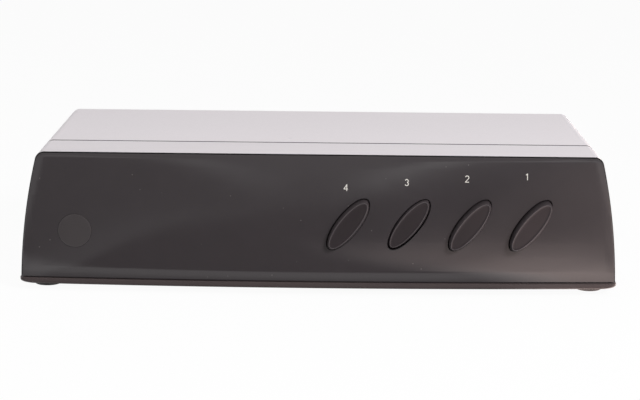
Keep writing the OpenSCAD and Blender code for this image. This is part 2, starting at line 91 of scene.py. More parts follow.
class CaseSizes(bpy.types.PropertyGroup):
    """Sizes of the shells that close the case."""

    width: length("Case width", "Width of the case across its foot", 250)
    height: length("Case height", "Height of the case, feet included", 59)
    depth: length("Case depth", "From the top edge of the front to the back edge of the cover", 130)
    side_draw: length("Side draw", "How far each side leans in by the top", 7.2)
    shoulder_r: length("Shoulder radius", "Radius of the two long shoulders", 4)
    wall: length("Wall", "Wall of the cover and of the tray", 2.2)
    rim: length("Rear rim", "Width of the cover's rim round the rear panel", 4)
    rim_t: length("Rear rim thickness", "Thickness of that rim", 1.5)
    seam_gap: length("Seam gap", "Gap in every seam between two shells", 0.3)
    groove_y: length("Groove place", "Distance of the groove behind the front", 32)
    groove_w: length("Groove width", "Width of the groove across the cover", 1.4)
    groove_depth: length("Groove depth", "Depth of the groove across the cover", 0.8)
    # these two reaches are of painted shade, dark and without sheen, in the groove and along the cover's
    # front edge
    bare_groove: length("Bare groove", "How far bare plastic shows past each side of the groove", 0.15)
    bare_edge: length("Bare edge", "How far bare plastic shows along the cover's front edge", 0.35)
    edge_r: length("Cover edge", "Rounding of the cover's cut edges", 0.3)
    groove_edge_r: length("Groove edge", "Rounding of the groove's two edges", 0.2)


class PanelSizes(bpy.types.PropertyGroup):
    """Sizes of the front panel and of the plug in it."""

    thickness: length("Panel thickness", "Thickness of the front panel", 2.5)
    bow: length("Bow", "How far the foot of the front bows forward at its middle", 4.6)
    land: length("Land", "Thickness of the panel's edge in front of the cover", 0.8)
    set_in: length("Set-in", "How far the panel's outline stays inside the cover's", 0.45)
    edge_r: length("Edge rounding", "Rounding of the panel's edge along its sides and top", 0.35)
    side_reach: length("Side curve", "Width over which the face curves back along each side", 4)
    side_back: length("Side curve depth", "How far it curves back there", 0.4)
    top_reach: length("Top curve", "Height over which the face curves back along its top", 2.5)
    top_back: length("Top curve depth", "How far it curves back there", 0.1)
    foot_drop: length("Foot drop", "How far the rounded foot hangs into the seam above the tray", 0.12)
    foot_h: length("Foot rounding height", "Height over which the foot of the face rounds under", 5)
    foot_back: length("Foot rounding", "How far the middle of the foot rounds back", 0.75)
    foot_back_side: length("Foot rounding at the sides", "How far the ends of the foot round back", 0.45)
    plug_inset: length("Plug inset", "Distance of the blanking plug from the left side", 23)
    plug_z: length("Plug height", "Height of the blanking plug", 26)
    plug_d: length("Plug diameter", "Diameter of the blanking plug", 13.8)
    plug_gap: length("Plug gap", "Gap round the plug behind its rim", 0.15)
    plug_rim: length("Plug rim", "How far the plug's rim spreads into that gap", 0.13)
    plug_edge_r: length("Plug edge", "Rounding of the plug's rim", 0.35)
    plug_proud: length("Plug dome", "How far the plug's rounded face stands proud", 0.28)
    hole_edge: length("Hole edge", "Rounding of the edges of the holes", 0.3)
    stroke: length("Stroke", "Width of the strokes of the printed digits", 0.35)
    ink_t: length("Ink", "Thickness of the printed ink", 0.05)
    mark_rise: length("Number height", "How far the rear numbers stand above the terminals", 3.4)
    sign_drop: length("Sign drop", "How far the signs lie below the terminals", 2)
    mark_drop: length("Letter drop", "How far the letters lie below the terminals", 5)


class BaseSizes(bpy.types.PropertyGroup):
    """Sizes of the tray and its feet."""

    lip_h: length("Lip height", "Height of the tray's lip below the cover", 2.7)
    lip_out: length("Lip overhang", "How far the lip stands out past the cover", 0.5)
    lip_edge: length("Lip edge", "Rounding of the lip's upper edge", 0.3)
    corner_r: length("Corner radius", "Radius of the tray's upright corners", 3)
    under_r: length("Under edge", "Rounding of the lip's lower edge", 1.8)
    tongue_r: length("Tongue corner", "Radius of the tongue's corners", 1.2)
    tongue_h: length("Tongue height", "Height of the tongue inside the cover", 4)
    tongue_t: length("Tongue thickness", "Thickness of the tongue", 1.5)
    tongue_play: length("Tongue play", "Room between the tongue and the cover, past the seam gap", 0.3)
    tongue_end: length("Tongue end", "How far the tongue ends before the tray's back", 3.9)
    pocket_r: length("Screw pocket radius", "Radius of the pockets for the case screws", 3.2)
    pocket_top: length("Screw pocket top", "Height of the floor of those pockets", 11.8)
    pocket_edge: length("Pocket edge", "Rounding of the edges of the pockets underneath", 0.25)
    screw_side: length("Screw inset", "Distance of the case screws from the sides", 18)
    screw_front: length("Front screws", "Distance of the front case screws behind the front", 24)
    screw_back: length("Rear screws", "Distance of the rear case screws from the back", 40)
    foot_edge: length("Foot edge", "Rounding of a foot's lower edge", 1)


class ButtonSizes(bpy.types.PropertyGroup):
    """Sizes of the oval push buttons."""

    inset: length("Button inset", "Distance of button 1 from the right side", 36.6)
    pitch: length("Button pitch", "Distance from one button to the next", 25.4)
    height: length("Button height", "Height of the buttons", 30.2)
    long: length("Cap length", "Length of the oval caps", 25.4)
    wide: length("Cap width", "Width of the oval caps", 9)
    gap: length("Cap gap", "Gap between a cap and its hole", 0.3)
    ridge_in: length("Ridge", "Distance of the raised ridge from the cap's edge", 0.85)
    side_fall: length("Side fall", "How far the cap falls away outside its ridge", 1.3)
    dish: length("Dish", "How deep the cap's face lies behind its ridge", 0.25)
    tilt: FloatProperty(
        name="Tilt", description="Tilt of the caps", default=math.radians(52), subtype="ANGLE")


class Finishes(bpy.types.PropertyGroup):
    """Colours of the finishes, as sRGB hex values."""

    silver: colour("Cover", "Silver-grey satin paint", "#E1DADE")
    charcoal: colour("Front panel", "Charcoal semi-gloss plastic", "#322D2F")
    # the plug's lighter colour is a painted reflection
    plug: colour("Plug", "Charcoal plastic, slightly lighter than the front", "#373233")
    base: colour("Tray", "Charcoal satin plastic", "#453D3D")
    cap: colour("Buttons", "Near-black satin plastic", "#231D1F")
    # the paler ridge colour is a painted highlight as well as polish
    ridge: colour("Button ridges", "The polished, paler ridge of a cap", "#514B4D")
    print_grey: colour("Print", "Pale grey pad print", "#C9C5BE")
    rear: colour("Rear panel", "Black moulded plastic", "#1C1B1C")
    terminal: colour("Terminals", "Black moulded plastic", "#171617")
    red: colour("Red levers", "Red moulded plastic", "#B01812")
    black: colour("Black levers", "Black moulded plastic", "#161516")
    rubber: colour("Feet", "Black rubber", "#1A1919")


def props():
    return bpy.context.scene.selector


class SelectorSettings(bpy.types.PropertyGroup):
    """All the sizes and colours of the speaker selector."""

    case: PointerProperty(type=CaseSizes)
    panel: PointerProperty(type=PanelSizes)
    base: PointerProperty(type=BaseSizes)
    button: PointerProperty(type=ButtonSizes)
    finish: PointerProperty(type=Finishes)


# ---------------------------------------------------------------- case shape

def front_y():
    """The top edge of the front, which depths are counted from."""
    return COVER_HIGH.y - props().case.depth


def side_radius():
    """The sides are arcs that stand upright on the table."""
    case = props().case
    return (case.height**2 + case.side_draw**2) / (2 * case.side_draw)


def half_width(z, inset=0.0):
    radius = side_radius()
    return props().case.width / 2 - radius + math.sqrt((radius - inset) ** 2 - z * z)


def bow(x):
    return props().panel.bow * (1 - (2 * x / props().case.width) ** 2)


def face_y(x, z):
    """Depth of the bowed face at x and z, in front of its straight top edge."""
    top = props().case.height
    seam = PANEL_LOW.z - props().case.seam_gap
    return -bow(x) * (top - z) / (top - seam)


# ---------------------------------------------------------------- mesh tools

def case_profile(bm, y, inset, z_low, side_steps=14, shoulder_steps=8):
    """Edges of the right half of the case's outline at depth y, from its foot to the middle of the top."""
    case = props().case
    big = side_radius() - inset
    tightest = 0.5 * MM
    r = max(case.shoulder_r - inset, tightest)
    middle = case.width / 2 - side_radius()
    cz = case.height - inset - r
    cx = middle + math.sqrt((big - r) ** 2 - cz**2)
    low, meet = math.asin(z_low / big), math.asin(cz / (big - r))
    start = bm.verts.new((middle + big * math.cos(low), y, z_low))
    before = set(bm.edges)
    turn = bmesh.ops.spin(
        bm, geom=[start], cent=(middle, y, 0), axis=(0, -1, 0), angle=meet - low, steps=side_steps)
    end = next(g for g in turn["geom_last"] if isinstance(g, bmesh.types.BMVert))
    turn = bmesh.ops.spin(
        bm, geom=[end], cent=(cx, y, cz), axis=(0, -1, 0), angle=math.pi / 2 - meet, steps=shoulder_steps)
    end = next(g for g in turn["geom_last"] if isinstance(g, bmesh.types.BMVert))
    made = bmesh.ops.extrude_vert_indiv(bm, verts=[end])
    made["verts"][0].co = (0, y, case.height - inset)
    return [e for e in bm.edges if e not in before]


def loft(bm, stations, z_low, closed):
    """Bridges case profiles at (depth, inset) stations in turn, and mirrors them to both sides."""
    rings = [case_profile(bm, front_y() + y, inset, z_low) for y, inset in stations]
    pairs = list(zip(rings, rings[1:])) + ([(rings[-1], rings[0])] if closed else [])
    for a, b in pairs:
        bmesh.ops.bridge_loops(bm, edges=a + b)
    mirror_x(bm)


def mirror_x(bm):
    bmesh.ops.mirror(bm, geom=list(bm.verts) + list(bm.edges) + list(bm.faces), axis="X", merge_dist=TOUCHING)
    bmesh.ops.remove_doubles(bm, verts=list(bm.verts), dist=TOUCHING)


def ring_at(bm, matrix, radius=1.0, segments=80):
    """A closed ring of edges on a circle that a matrix puts in its place."""
    made = bmesh.ops.create_circle(bm, cap_ends=False, segments=segments, radius=radius, matrix=matrix)
    inside = set(made["verts"])
    return [e for e in bm.edges if e.verts[0] in inside and e.verts[1] in inside]


def oval_ring(bm, centre, long, wide, tilt, segments=80):
    """A closed ring of edges on an oval that faces the front."""
    place = Matrix.Translation(centre) @ Matrix.Rotation(-tilt, 4, "Y") @ Matrix.Rotation(math.pi / 2, 4, "X")
    return ring_at(bm, place @ Matrix.Diagonal((long / 2, wide / 2, 1, 1)), segments=segments)


def bridge(bm, rings):
    for a, b in zip(rings, rings[1:]):
        bmesh.ops.bridge_loops(bm, edges=a + b)


def bevel_where(bm, test, width, segments=3):
    """Rounds the sharp edges that pass a test."""
    edges = [e for e in bm.edges if len(e.link_faces) == 2 and e.calc_face_angle(0) > BEVEL_ANGLE and test(e)]
    bmesh.ops.bevel(
        bm, geom=edges, offset=width, offset_type="OFFSET", affect="EDGES", segments=segments, profile=0.5,
        material=-1, clamp_overlap=True)


def fill_openings(bm, height=None):
    """Closes every open loop of edges with a face, or only those that lie at one height."""
    edges = [e for e in bm.edges if e.is_boundary]
    if height is not None:
        edges = [e for e in edges if all(abs(v.co.z - height) < NEARBY for v in e.verts)]
    bmesh.ops.holes_fill(bm, edges=edges, sides=0)


def fill_flat(bm, axis, place):
    """Fills the plane at one place along an axis, round the loops of open edges that lie in it."""
    edges = [e for e in bm.edges if e.is_boundary or not e.link_faces]
    edges = [e for e in edges if all(abs(v.co[axis] - place) < TOUCHING for v in e.verts)]
    bmesh.ops.triangle_fill(bm, use_beauty=True, use_dissolve=False, edges=edges)


def cut_across(bm, axis, places):
    """Cuts the whole mesh at planes square to an axis, so that it can bend."""
    direction = Vector((axis == "X", axis == "Y", axis == "Z"))
    for place in places:
        geometry = list(bm.verts) + list(bm.edges) + list(bm.faces)
        bmesh.ops.bisect_plane(bm, geom=geometry, plane_co=direction * place, plane_no=direction, dist=NEARBY)


def steps_between(low, high, step):
    count = max(2, round((high - low) / step))
    return [low + (high - low) * i / count for i in range(1, count)]


def add_piece(bm, name, body, slot, nodes=(), finish=None):
    """Turns a mesh into a piece at the origin that rides on its body and stands for its nodes."""
    bmesh.ops.remove_doubles(bm, verts=list(bm.verts), dist=TOUCHING)
    bmesh.ops.recalc_face_normals(bm, faces=list(bm.faces))
    mesh = bpy.data.meshes.new(name)
    bm.to_mesh(mesh)
    bm.free()
    mesh.materials.append(finish_of(finish or slot))
    for face in mesh.polygons:
        face.use_smooth = True
    mesh.set_sharp_from_angle(angle=SHARP_ANGLE)
    piece = bpy.data.objects.new(name, mesh)
    bpy.context.scene.collection.objects.link(piece)
    weighted = piece.modifiers.new("weighted_normals", "WEIGHTED_NORMAL")
    weighted.keep_sharp = True
    weighted.weight = 60
    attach(piece, body)
    if nodes:
        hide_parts(*nodes)


def body_of_node(node):
    for body, members in frame["record"]["behaviour"]["bodies"].items():
        if node in members:
            return body
    raise ValueError(f"no body holds {node}")


def rounded_copy(node, name, slot, width, segments=2):
    """A CAD node's own shape with its sharp edges rounded."""
    bm = bmesh.new()
    bm.from_mesh(frame["nodes"][node].data)
    bmesh.ops.remove_doubles(bm, verts=list(bm.verts), dist=2 * NEARBY)
    bmesh.ops.dissolve_limit(
        bm, angle_limit=math.radians(1), verts=list(bm.verts), edges=list(bm.edges), delimit={"NORMAL"})
    bevel_where(bm, lambda e: e.is_convex, width, segments)
    add_piece(bm, name, body_of_node(node), slot, [node])


# ---------------------------------------------------------------- materials

def linear(hex_colour):
    """An sRGB hex value as the linear colour that shaders take."""
    parts = [int(hex_colour[i:i + 2], 16) / 255 for i in (1, 3, 5)]
    return (*[p / 12.92 if p <= 0.04045 else ((p + 0.055) / 1.055) ** 2.4 for p in parts], 1.0)


def shade(hex_colour, factor):
    """A linear colour, made lighter or darker."""
    return (*[min(1.0, c * factor) for c in linear(hex_colour)[:3]], 1.0)


def add_node(tree, kind, settings=None, inputs=None):
    """Adds a shader node with its settings; an input is a value, or a socket to link from."""
    made = tree.nodes.new(kind)
    for key, value in (settings or {}).items():
        setattr(made, key, value)
    for key, value in (inputs or {}).items():
        if isinstance(value, bpy.types.NodeSocket):
            tree.links.new(value, made.inputs[key])
        else:
            made.inputs[key].default_value = value
    return made


def per_mm(size):
    """Scale of a pattern whose features are this many millimetres across."""
    return 1 / (size * MM)


def new_material(name):
    """An empty node material, its tree and the object coordinates in metres."""
    made = bpy.data.materials.new(name)
    made.use_nodes = True
    made.node_tree.nodes.clear()
    return made, made.node_tree, add_node(made.node_tree, "ShaderNodeTexCoord").outputs["Object"]


def clouded(tree, place, size, detail, dark, light):
    """A colour that drifts from dark to light in clouds of a size in millimetres, and those clouds."""
    clouds = add_node(tree, "ShaderNodeTexNoise", inputs={
        "Vector": place, "Scale": per_mm(size), "Detail": detail}).outputs["Fac"]
    tone = add_node(tree, "ShaderNodeMix", {"data_type": "RGBA"}, {"Factor": clouds, 6: dark, 7: light})
    return tone.outputs[2], clouds


def speckled(tree, place, skin, size, core, edge, top, hex_colour):
    """A skin with round specks about a size in millimetres apart. Their core and edge are shares of that
    size: top is how much of their colour shows in the core, and it fades out by the edge."""
    cells = add_node(tree, "ShaderNodeTexVoronoi", {"feature": "F1"}, {
        "Vector": place, "Scale": per_mm(size)})
    speck = add_node(tree, "ShaderNodeMapRange", inputs={
        "Value": cells.outputs["Distance"], "From Min": core, "From Max": edge, "To Min": top, "To Max": 0.0})
    return add_node(tree, "ShaderNodeMix", {"data_type": "RGBA"}, {
        "Factor": speck.outputs["Result"], 6: skin, 7: linear(hex_colour)}).outputs[2]


def grained(tree, place, size, strength, depth):
    """The normal of a surface with a fine grain, whose size and depth are in millimetres."""
    grain = add_node(tree, "ShaderNodeTexNoise", inputs={
        "Vector": place, "Scale": per_mm(size), "Detail": 2.0})
    return add_node(tree, "ShaderNodeBump", inputs={
        "Height": grain.outputs["Fac"], "Strength": strength, "Distance": depth * MM}).outputs["Normal"]


def moulded(name, hex_colour, roughness, ior=1.53, grain=0.35, depth=0.006, mottle=0.06, specular=0.5,
            dust=0.0, polish_and_highlight=None):
    """Moulded plastic: an even colour with a faint mottle, and the fine grain of the mould on its surface."""
    made, tree, place = new_material(name)
    skin = clouded(
        tree, place, size=9, detail=3.0,
        dark=shade(hex_colour, 1 - mottle), light=shade(hex_colour, 1 + mottle))[0]
    if dust:
        skin = speckled(tree, place, skin, size=6, core=0.014, edge=0.036, top=dust, hex_colour="#A8A29E")
    handled = add_node(tree, "ShaderNodeTexNoise", inputs={
        "Vector": place, "Scale": per_mm(22), "Detail": 5.0})
    gloss = add_node(tree, "ShaderNodeMapRange", inputs={
        "Value": handled.outputs["Fac"], "From Min": 0.3, "From Max": 0.7,
        "To Min": roughness * 0.9, "To Max": roughness * 1.12}).outputs["Result"]
    if polish_and_highlight:
        # the mesh itself says how much each of its points is polished by rubbing, and how much it is painted
        # paler as a highlight
        highlight_colour, worn_gloss = polish_and_highlight
        rubbed_and_highlit = add_node(tree, "ShaderNodeAttribute", {"attribute_name": "wear_and_highlight"}).outputs["Fac"]
        skin = add_node(tree, "ShaderNodeMix", {"data_type": "RGBA"}, {
            "Factor": rubbed_and_highlit, 6: skin, 7: linear(highlight_colour)}).outputs[2]
        gloss = add_node(tree, "ShaderNodeMix", {"data_type": "FLOAT"}, {
            0: rubbed_and_highlit, 2: gloss, 3: worn_gloss}).outputs[0]
    shader = add_node(tree, "ShaderNodeBsdfPrincipled", inputs={
        "Base Color": skin, "Roughness": gloss, "IOR": ior, "Specular IOR Level": specular,
        "Normal": grained(tree, place, size=grain, strength=0.5, depth=depth)})
    add_node(tree, "ShaderNodeOutputMaterial", inputs={"Surface": shader.outputs[0]})
    return made


def silver_paint(name, hex_colour):
    """Silver-grey satin paint on moulded ABS: pale, slightly lilac, with fine flake and a soft sheen."""
    case = props().case
    made, tree, place = new_material(name)
    paint, clouds = clouded(
        tree, place, size=30, detail=3.0, dark=shade(hex_colour, 0.97), light=shade(hex_colour, 1.03))
    flake = add_node(tree, "ShaderNodeTexVoronoi", {"feature": "F1"}, {
        "Vector": place, "Scale": per_mm(0.45)})
    sparkle = add_node(tree, "ShaderNodeMapRange", inputs={
        "Value": flake.outputs["Color"], "To Min": 0.965, "To Max": 1.035})
    paint = add_node(tree, "ShaderNodeMix", {"data_type": "RGBA", "blend_type": "MULTIPLY"}, {
        "Factor": 1.0, 6: paint, 7: sparkle.outputs["Result"]}).outputs[2]
    paint = speckled(tree, place, paint, size=38, core=0.010, edge=0.035, top=0.35, hex_colour="#8F8A90")
    behind = add_node(tree, "ShaderNodeSeparateXYZ", inputs={0: place}).outputs["Y"]
    # the strip in front of the groove is a touch duller
    strip = add_node(tree, "ShaderNodeMath", {"operation": "LESS_THAN"}, {
        0: behind, 1: front_y() + case.groove_y}).outputs[0]
    paint = add_node(tree, "ShaderNodeMix", {"data_type": "RGBA", "blend_type": "MULTIPLY"}, {
        "Factor": strip, 6: paint, 7: (0.93, 0.93, 0.93, 1.0)}).outputs[2]
    # painted shade: the groove and the cut front edge are coloured dark and lose their sheen, standing in for
    # the shadow that lies in them
    half = case.groove_w / 2
    shaded = 0.0
    for middle, reach in (
            (front_y() + case.groove_y + half, half + case.bare_groove), (COVER_LOW.y, case.bare_edge)):
        near = add_node(tree, "ShaderNodeMath", {"operation": "COMPARE"}, {0: behind, 1: middle, 2: reach})
        shaded = add_node(tree, "ShaderNodeMath", {"operation": "MAXIMUM"}, {
            0: shaded, 1: near.outputs[0]}).outputs[0]
    paint = add_node(tree, "ShaderNodeMix", {"data_type": "RGBA"}, {
        "Factor": shaded, 6: paint, 7: linear("#1D1B1C")})
    sheen = add_node(tree, "ShaderNodeMix", {"data_type": "RGBA"}, {
        "Factor": shaded, 6: (1, 1, 1, 1), 7: (0, 0, 0, 1)})
    gloss = add_node(tree, "ShaderNodeMapRange", inputs={
        "Value": clouds, "From Min": 0.3, "From Max": 0.7, "To Min": 0.40, "To Max": 0.46})
    shader = add_node(tree, "ShaderNodeBsdfPrincipled", inputs={
        "Base Color": paint.outputs[2], "Roughness": gloss.outputs["Result"], "IOR": 1.45, "Metallic": 0.0,
        "Specular Tint": sheen.outputs[2],
        "Normal": grained(tree, place, size=0.6, strength=0.4, depth=0.004)})
    add_node(tree, "ShaderNodeOutputMaterial", inputs={"Surface": shader.outputs[0]})
    return made


def metal(name, hex_colour, roughness, streak=(1.0, 1.0, 1.0)):
    """Bare or plated metal, drawn or stamped: its tone and gloss vary finely, or in streaks."""
    made, tree, place = new_material(name)
    drawn = add_node(tree, "ShaderNodeMapping", inputs={"Vector": place, "Scale": streak}).outputs[0]
    tone, streaks = clouded(
        tree, drawn, size=1.2, detail=3.0, dark=shade(hex_colour, 0.88), light=shade(hex_colour, 1.08))
    gloss = add_node(tree, "ShaderNodeMapRange", inputs={
        "Value": streaks, "To Min": roughness * 0.8, "To Max": roughness * 1.25})
    shader = add_node(tree, "ShaderNodeBsdfPrincipled", inputs={
        "Base Color": tone, "Roughness": gloss.outputs["Result"], "Metallic": 1.0})
    add_node(tree, "ShaderNodeOutputMaterial", inputs={"Surface": shader.outputs[0]})
    return made


def phenolic_board(name):
    """Phenolic paper board: brown, with the faint fibres of its paper."""
    made, tree, place = new_material(name)
    along = add_node(tree, "ShaderNodeMapping", inputs={"Vector": place, "Scale": (1.0, 6.0, 1.0)}).outputs[0]
    tone = clouded(tree, along, size=2.5, detail=5.0, dark=linear("#8C6236"), light=linear("#A87C48"))[0]
    shader = add_node(tree, "ShaderNodeBsdfPrincipled", inputs={
        "Base Color": tone, "Roughness": 0.5, "IOR": 1.55})
    add_node(tree, "ShaderNodeOutputMaterial", inputs={"Surface": shader.outputs[0]})
    return made


def finish_of(key):
    """The finish of a material slot, of the plug or of the print, made once. A row holds its name, its maker,
    its colour and roughness where the maker takes them, and what else it needs."""
    colours = props().finish
    finishes = {
        "cover_silver": ("silver_satin_paint", silver_paint, (colours.silver,), {}),
        # Semi-gloss ABS: a clear but soft reflection over a dark body colour
        "panel_abs": (
            "abs_charcoal_semigloss", moulded, (colours.charcoal, 0.055),
            dict(depth=0.002, specular=0.3, dust=0.5)),
        # The plug is ABS from a mould of its own: a little duller than the front, and a little lighter as a
        # painted reflection of the brighter light that it catches
        "plug": ("abs_plug", moulded, (colours.plug, 0.16), dict(specular=0.32, dust=0.3)),
        # ABS from a lightly sparked mould: satin
        "base_abs": (
            "abs_charcoal_satin", moulded, (colours.base, 0.42), dict(grain=0.4, depth=0.012, specular=0.08)),
        # Black ABS from sparked moulds: almost matte
        "rear_abs": ("abs_black_sparked", moulded, (colours.rear, 0.5), dict(grain=0.4, depth=0.02)),
        "terminal_abs": (
            "abs_black_terminal", moulded, (colours.terminal, 0.45), dict(grain=0.4, depth=0.012)),
        # Satin ABS, glossier along the polished ridge of each cap, which is also painted paler there as a
        # highlight, and a little paler down its sides as painted light
        "button_abs": (
            "abs_black_satin", moulded, (colours.cap, 0.48),
            dict(grain=0.3, depth=0.008, specular=0.2, polish_and_highlight=(colours.ridge, 0.28))),
        # Glossy ABS from a polished mould
        "lever_red": ("abs_red", moulded, (colours.red, 0.3), dict(depth=0.004)),
        "lever_black": ("abs_black_gloss", moulded, (colours.black, 0.3), dict(depth=0.004)),
        # Natural nylon: milky, a little waxy
        "plunger_nylon": ("nylon_natural", moulded, ("#DED9C4", 0.38), dict(depth=0.004)),
        # Black nylon: a soft satin
        "switch_nylon": ("nylon_black", moulded, ("#1B1B1D", 0.42), {}),
        # Moulded rubber: dull, with a dusty bloom
        "foot_rubber": (
            "rubber_black", moulded, (colours.rubber, 0.72),
            dict(ior=1.5, grain=0.5, depth=0.03, mottle=0.15)),
        # Pad-printed ink: pale grey, matte and a little uneven
        "print": ("pad_print", moulded, (colours.print_grey, 0.6), dict(mottle=0.08)),
        "board": ("phenolic_paper_board", phenolic_board, (), {}),
        # Drawn steel wire: bright
        "spring_steel": ("spring_wire", metal, ("#B9BBBF", 0.28), {}),
        # Zinc-plated steel: greyer and duller
        "screw_steel": ("steel_zinc_plated", metal, ("#8E8F92", 0.42), dict(streak=(3.0, 3.0, 1.0))),
        # Stamped brass strip: yellow, faintly streaked
        "contact_brass": ("brass_strip", metal, ("#C9AC63", 0.3), dict(streak=(4.0, 1.0, 1.0))),
    }
    name, maker, basics, extras = finishes[key]
    return bpy.data.materials.get(name) or maker(name, *basics, **extras)


# ---------------------------------------------------------------- pieces

class SELECTOR_OT_cover(bpy.types.Operator):
    """Build the silver-grey cover with its groove and its rear rim"""

    bl_idname = "selector.cover"
    bl_label = "Top cover"

    def execute(self, context):
        case = props().case
        first = COVER_LOW.y - front_y()
        back = case.depth
        g0, g1, deep = case.groove_y, case.groove_y + case.groove_w, case.groove_depth
        stations = [
            (first, case.wall), (first, 0), (g0, 0), (g0, deep), (g1, deep), (g1, 0), (back, 0),
            (back, case.rim), (back - case.rim_t, case.rim), (back - case.rim_t, case.wall),
        ]
        bm = bmesh.new()
        loft(bm, stations, COVER_LOW.z, closed=True)
        fill_openings(bm)
        bmesh.ops.recalc_face_normals(bm, faces=list(bm.faces))
        margin = 1 * MM
        near, far = front_y() + g0 - margin, front_y() + g1 + margin

        def in_groove(edge):
            return all(near < v.co.y < far for v in edge.verts)

        bevel_where(bm, lambda e: e.is_convex and in_groove(e), case.groove_edge_r)
        bevel_where(bm, lambda e: e.is_convex and not in_groove(e), case.edge_r)
        add_piece(bm, "cover_shell", "case", "cover_silver", ["top_cover"])
        return {"FINISHED"}


def button_centre(number):
    button = props().button
    x = props().case.width / 2 - button.inset - (number - 1) * button.pitch
    return Vector((x, 0, button.height))


def plug_centre():
    panel = props().panel
    return Vector((panel.plug_inset - props().case.width / 2, 0, panel.plug_z))


def bend_to_face(bm, edges):
    """Moves a mesh whose face lies flat at y = 0 onto the bowed face, curved back at its edges if asked."""
    panel, case = props().panel, props().case
    low = PANEL_LOW.z - panel.foot_drop
    for v in bm.verts:
        x, depth, z = v.co
        across = 1 - min(1.0, (2 * x / case.width) ** 2)
        under = max(0.0, (low + panel.foot_h - z) / panel.foot_h)
        back = panel.foot_back_side + (panel.foot_back - panel.foot_back_side) * math.sqrt(across)
        side = max(0.0, 1 - (half_width(z, panel.set_in) - abs(x)) / panel.side_reach)
        top = max(0.0, 1 - (case.height - panel.set_in - z) / panel.top_reach)
        near = max(0.0, 1 - depth / panel.land) if edges else 0.0
        v.co.y = front_y() + depth + face_y(x, z)
        v.co.y += near * (back * under**2 + panel.side_back * side**2 + panel.top_back * top**2)


class SELECTOR_OT_front_panel(bpy.types.Operator):
    """Build the bowed charcoal front with its four button holes and its plug hole"""

    bl_idname = "selector.front_panel"
    bl_label = "Front panel"

    def execute(self, context):
        case, panel = props().case, props().panel
        low, r, set_in = PANEL_LOW.z - panel.foot_drop, panel.edge_r, panel.set_in
        inner = case.wall + case.seam_gap
        turn = [math.radians(a) for a in (90, 67.5, 45, 22.5, 0)]
        shift = -front_y()
        edge = [(r * (1 - math.sin(a)) + shift, set_in + r * (1 - math.cos(a))) for a in turn]
        land, back = panel.land + shift, panel.thickness + shift
        stations = edge + [(land, set_in), (land, inner), (back, inner)]
        bm = bmesh.new()
        loft(bm, stations, low, closed=False)
        for depth, inset in (stations[0], stations[-1]):
            y = depth - shift
            ends = [v for v in bm.verts if abs(v.co.y - y) < TOUCHING and abs(v.co.z - low) < TOUCHING
                    and abs(abs(v.co.x) - half_width(low, inset)) < NEARBY]
            bm.edges.new(ends)
        self.holes(bm)
        for y in (0.0, panel.thickness):
            fill_flat(bm, 1, y)
        reach, narrow = case.width / 2, half_width(case.height) - panel.side_reach
        foot_top, top = low + panel.foot_h, case.height - panel.set_in - panel.top_reach
        # finer cuts lie where the face curves back along its edges
        cut_across(bm, "X", steps_between(-reach, reach, 5 * MM))
        cut_across(bm, "X", steps_between(-reach, -narrow, 1 * MM))
        cut_across(bm, "X", steps_between(narrow, reach, 1 * MM))
        cut_across(bm, "Z", steps_between(top, case.height, 0.6 * MM))
        cut_across(bm, "Z", steps_between(low, foot_top, 0.5 * MM))
        cut_across(bm, "Z", [foot_top])
        cut_across(bm, "Z", steps_between(foot_top, case.height, 6 * MM))
        bend_to_face(bm, edges=True)
        fill_openings(bm, low)
        add_piece(bm, "panel_moulding", "case", "panel_abs", ["front_panel"])
        return {"FINISHED"}

    def holes(self, bm):
        """The walls of the button holes and of the plug hole, with rounded front edges."""
        panel, button = props().panel, props().button
        holes = [(button_centre(n), button.long + 2 * button.gap, button.wide + 2 * button.gap, button.tilt)
                 for n in BUTTONS]
        plug_hole = panel.plug_d + 2 * panel.plug_gap
        holes.append((plug_centre(), plug_hole, plug_hole, 0.0))
        for centre, long, wide, tilt in holes:
            edge_r = panel.hole_edge if tilt else panel.plug_gap / 3
            rings = []
            for a in (90, 60, 30, 0):
                depth = edge_r * (1 - math.cos(math.radians(90 - a)))
                wider = 2 * edge_r * math.sin(math.radians(a))
                rings.append(oval_ring(bm, centre + Vector((0, depth, 0)), long + wider, wide + wider, tilt))
            rings.append(oval_ring(bm, centre + Vector((0, panel.thickness, 0)), long, wide, tilt))
            bridge(bm, rings)


class SELECTOR_OT_plug(bpy.types.Operator):
    """Build the round blanking plug that closes the unused hole"""

    bl_idname = "selector.plug"
    bl_label = "Blanking plug"

    def execute(self, context):
        panel = props().panel
        d, r, rim = panel.plug_d, panel.plug_edge_r, panel.plug_d + 2 * panel.plug_rim
        barb, lip, wall, face, play = (size * MM for size in (0.7, 1.4, 1.5, 1.5, 0.2))
        clip, back = panel.thickness + play, panel.thickness + lip
        turn = [math.radians(a) for a in (90, 70, 50, 30, 10, 0)]
        sections = [(rim - 2 * r * (1 - math.cos(a)), r * (1 - math.sin(a)) - panel.plug_proud) for a in turn]
        sections += [(d, r + play), (d, clip), (d + 2 * barb, clip + RING_STEP), (d + 2 * barb, back),
                     (d - 2 * wall, back + RING_STEP), (d - 2 * wall, face)]
        bm = bmesh.new()
        centre = plug_centre()
        rings = [oval_ring(bm, centre + Vector((0, y, 0)), size, size, tilt=0.0, segments=64)
                 for size, y in sections]
        bridge(bm, rings)
        fill_openings(bm)
        bend_to_face(bm, edges=False)
        add_piece(bm, "plug_cap", "case", "panel_abs", ["blanking_plug"], finish="plug")
        return {"FINISHED"}


# Sections of a cap from its middle out to its ridge, and from there down its side: the distance from the edge
# as a share of the ridge's own, the depth as a share of the dish or of the side's fall, and how polished by
# rubbing it is, which also paints it paler as a highlight
CAP_FACE = ((2.3, 1.0, 0), (1.85, 0.96, 0), (1.6, 0.8, 0), (1.36, 0.5, 0), (1.2, 0.22, 0.1),
            (1.09, 0.05, 0.8))
CAP_SIDE = ((1.0, 0, 1), (0.9, 0.02, 0.7), (0.76, 0.09, 0.2), (0.54, 0.25, 0.2), (0.3, 0.45, 0.3),
            (0.1, 0.72, 0.35), (0, 1.0, 0.35))


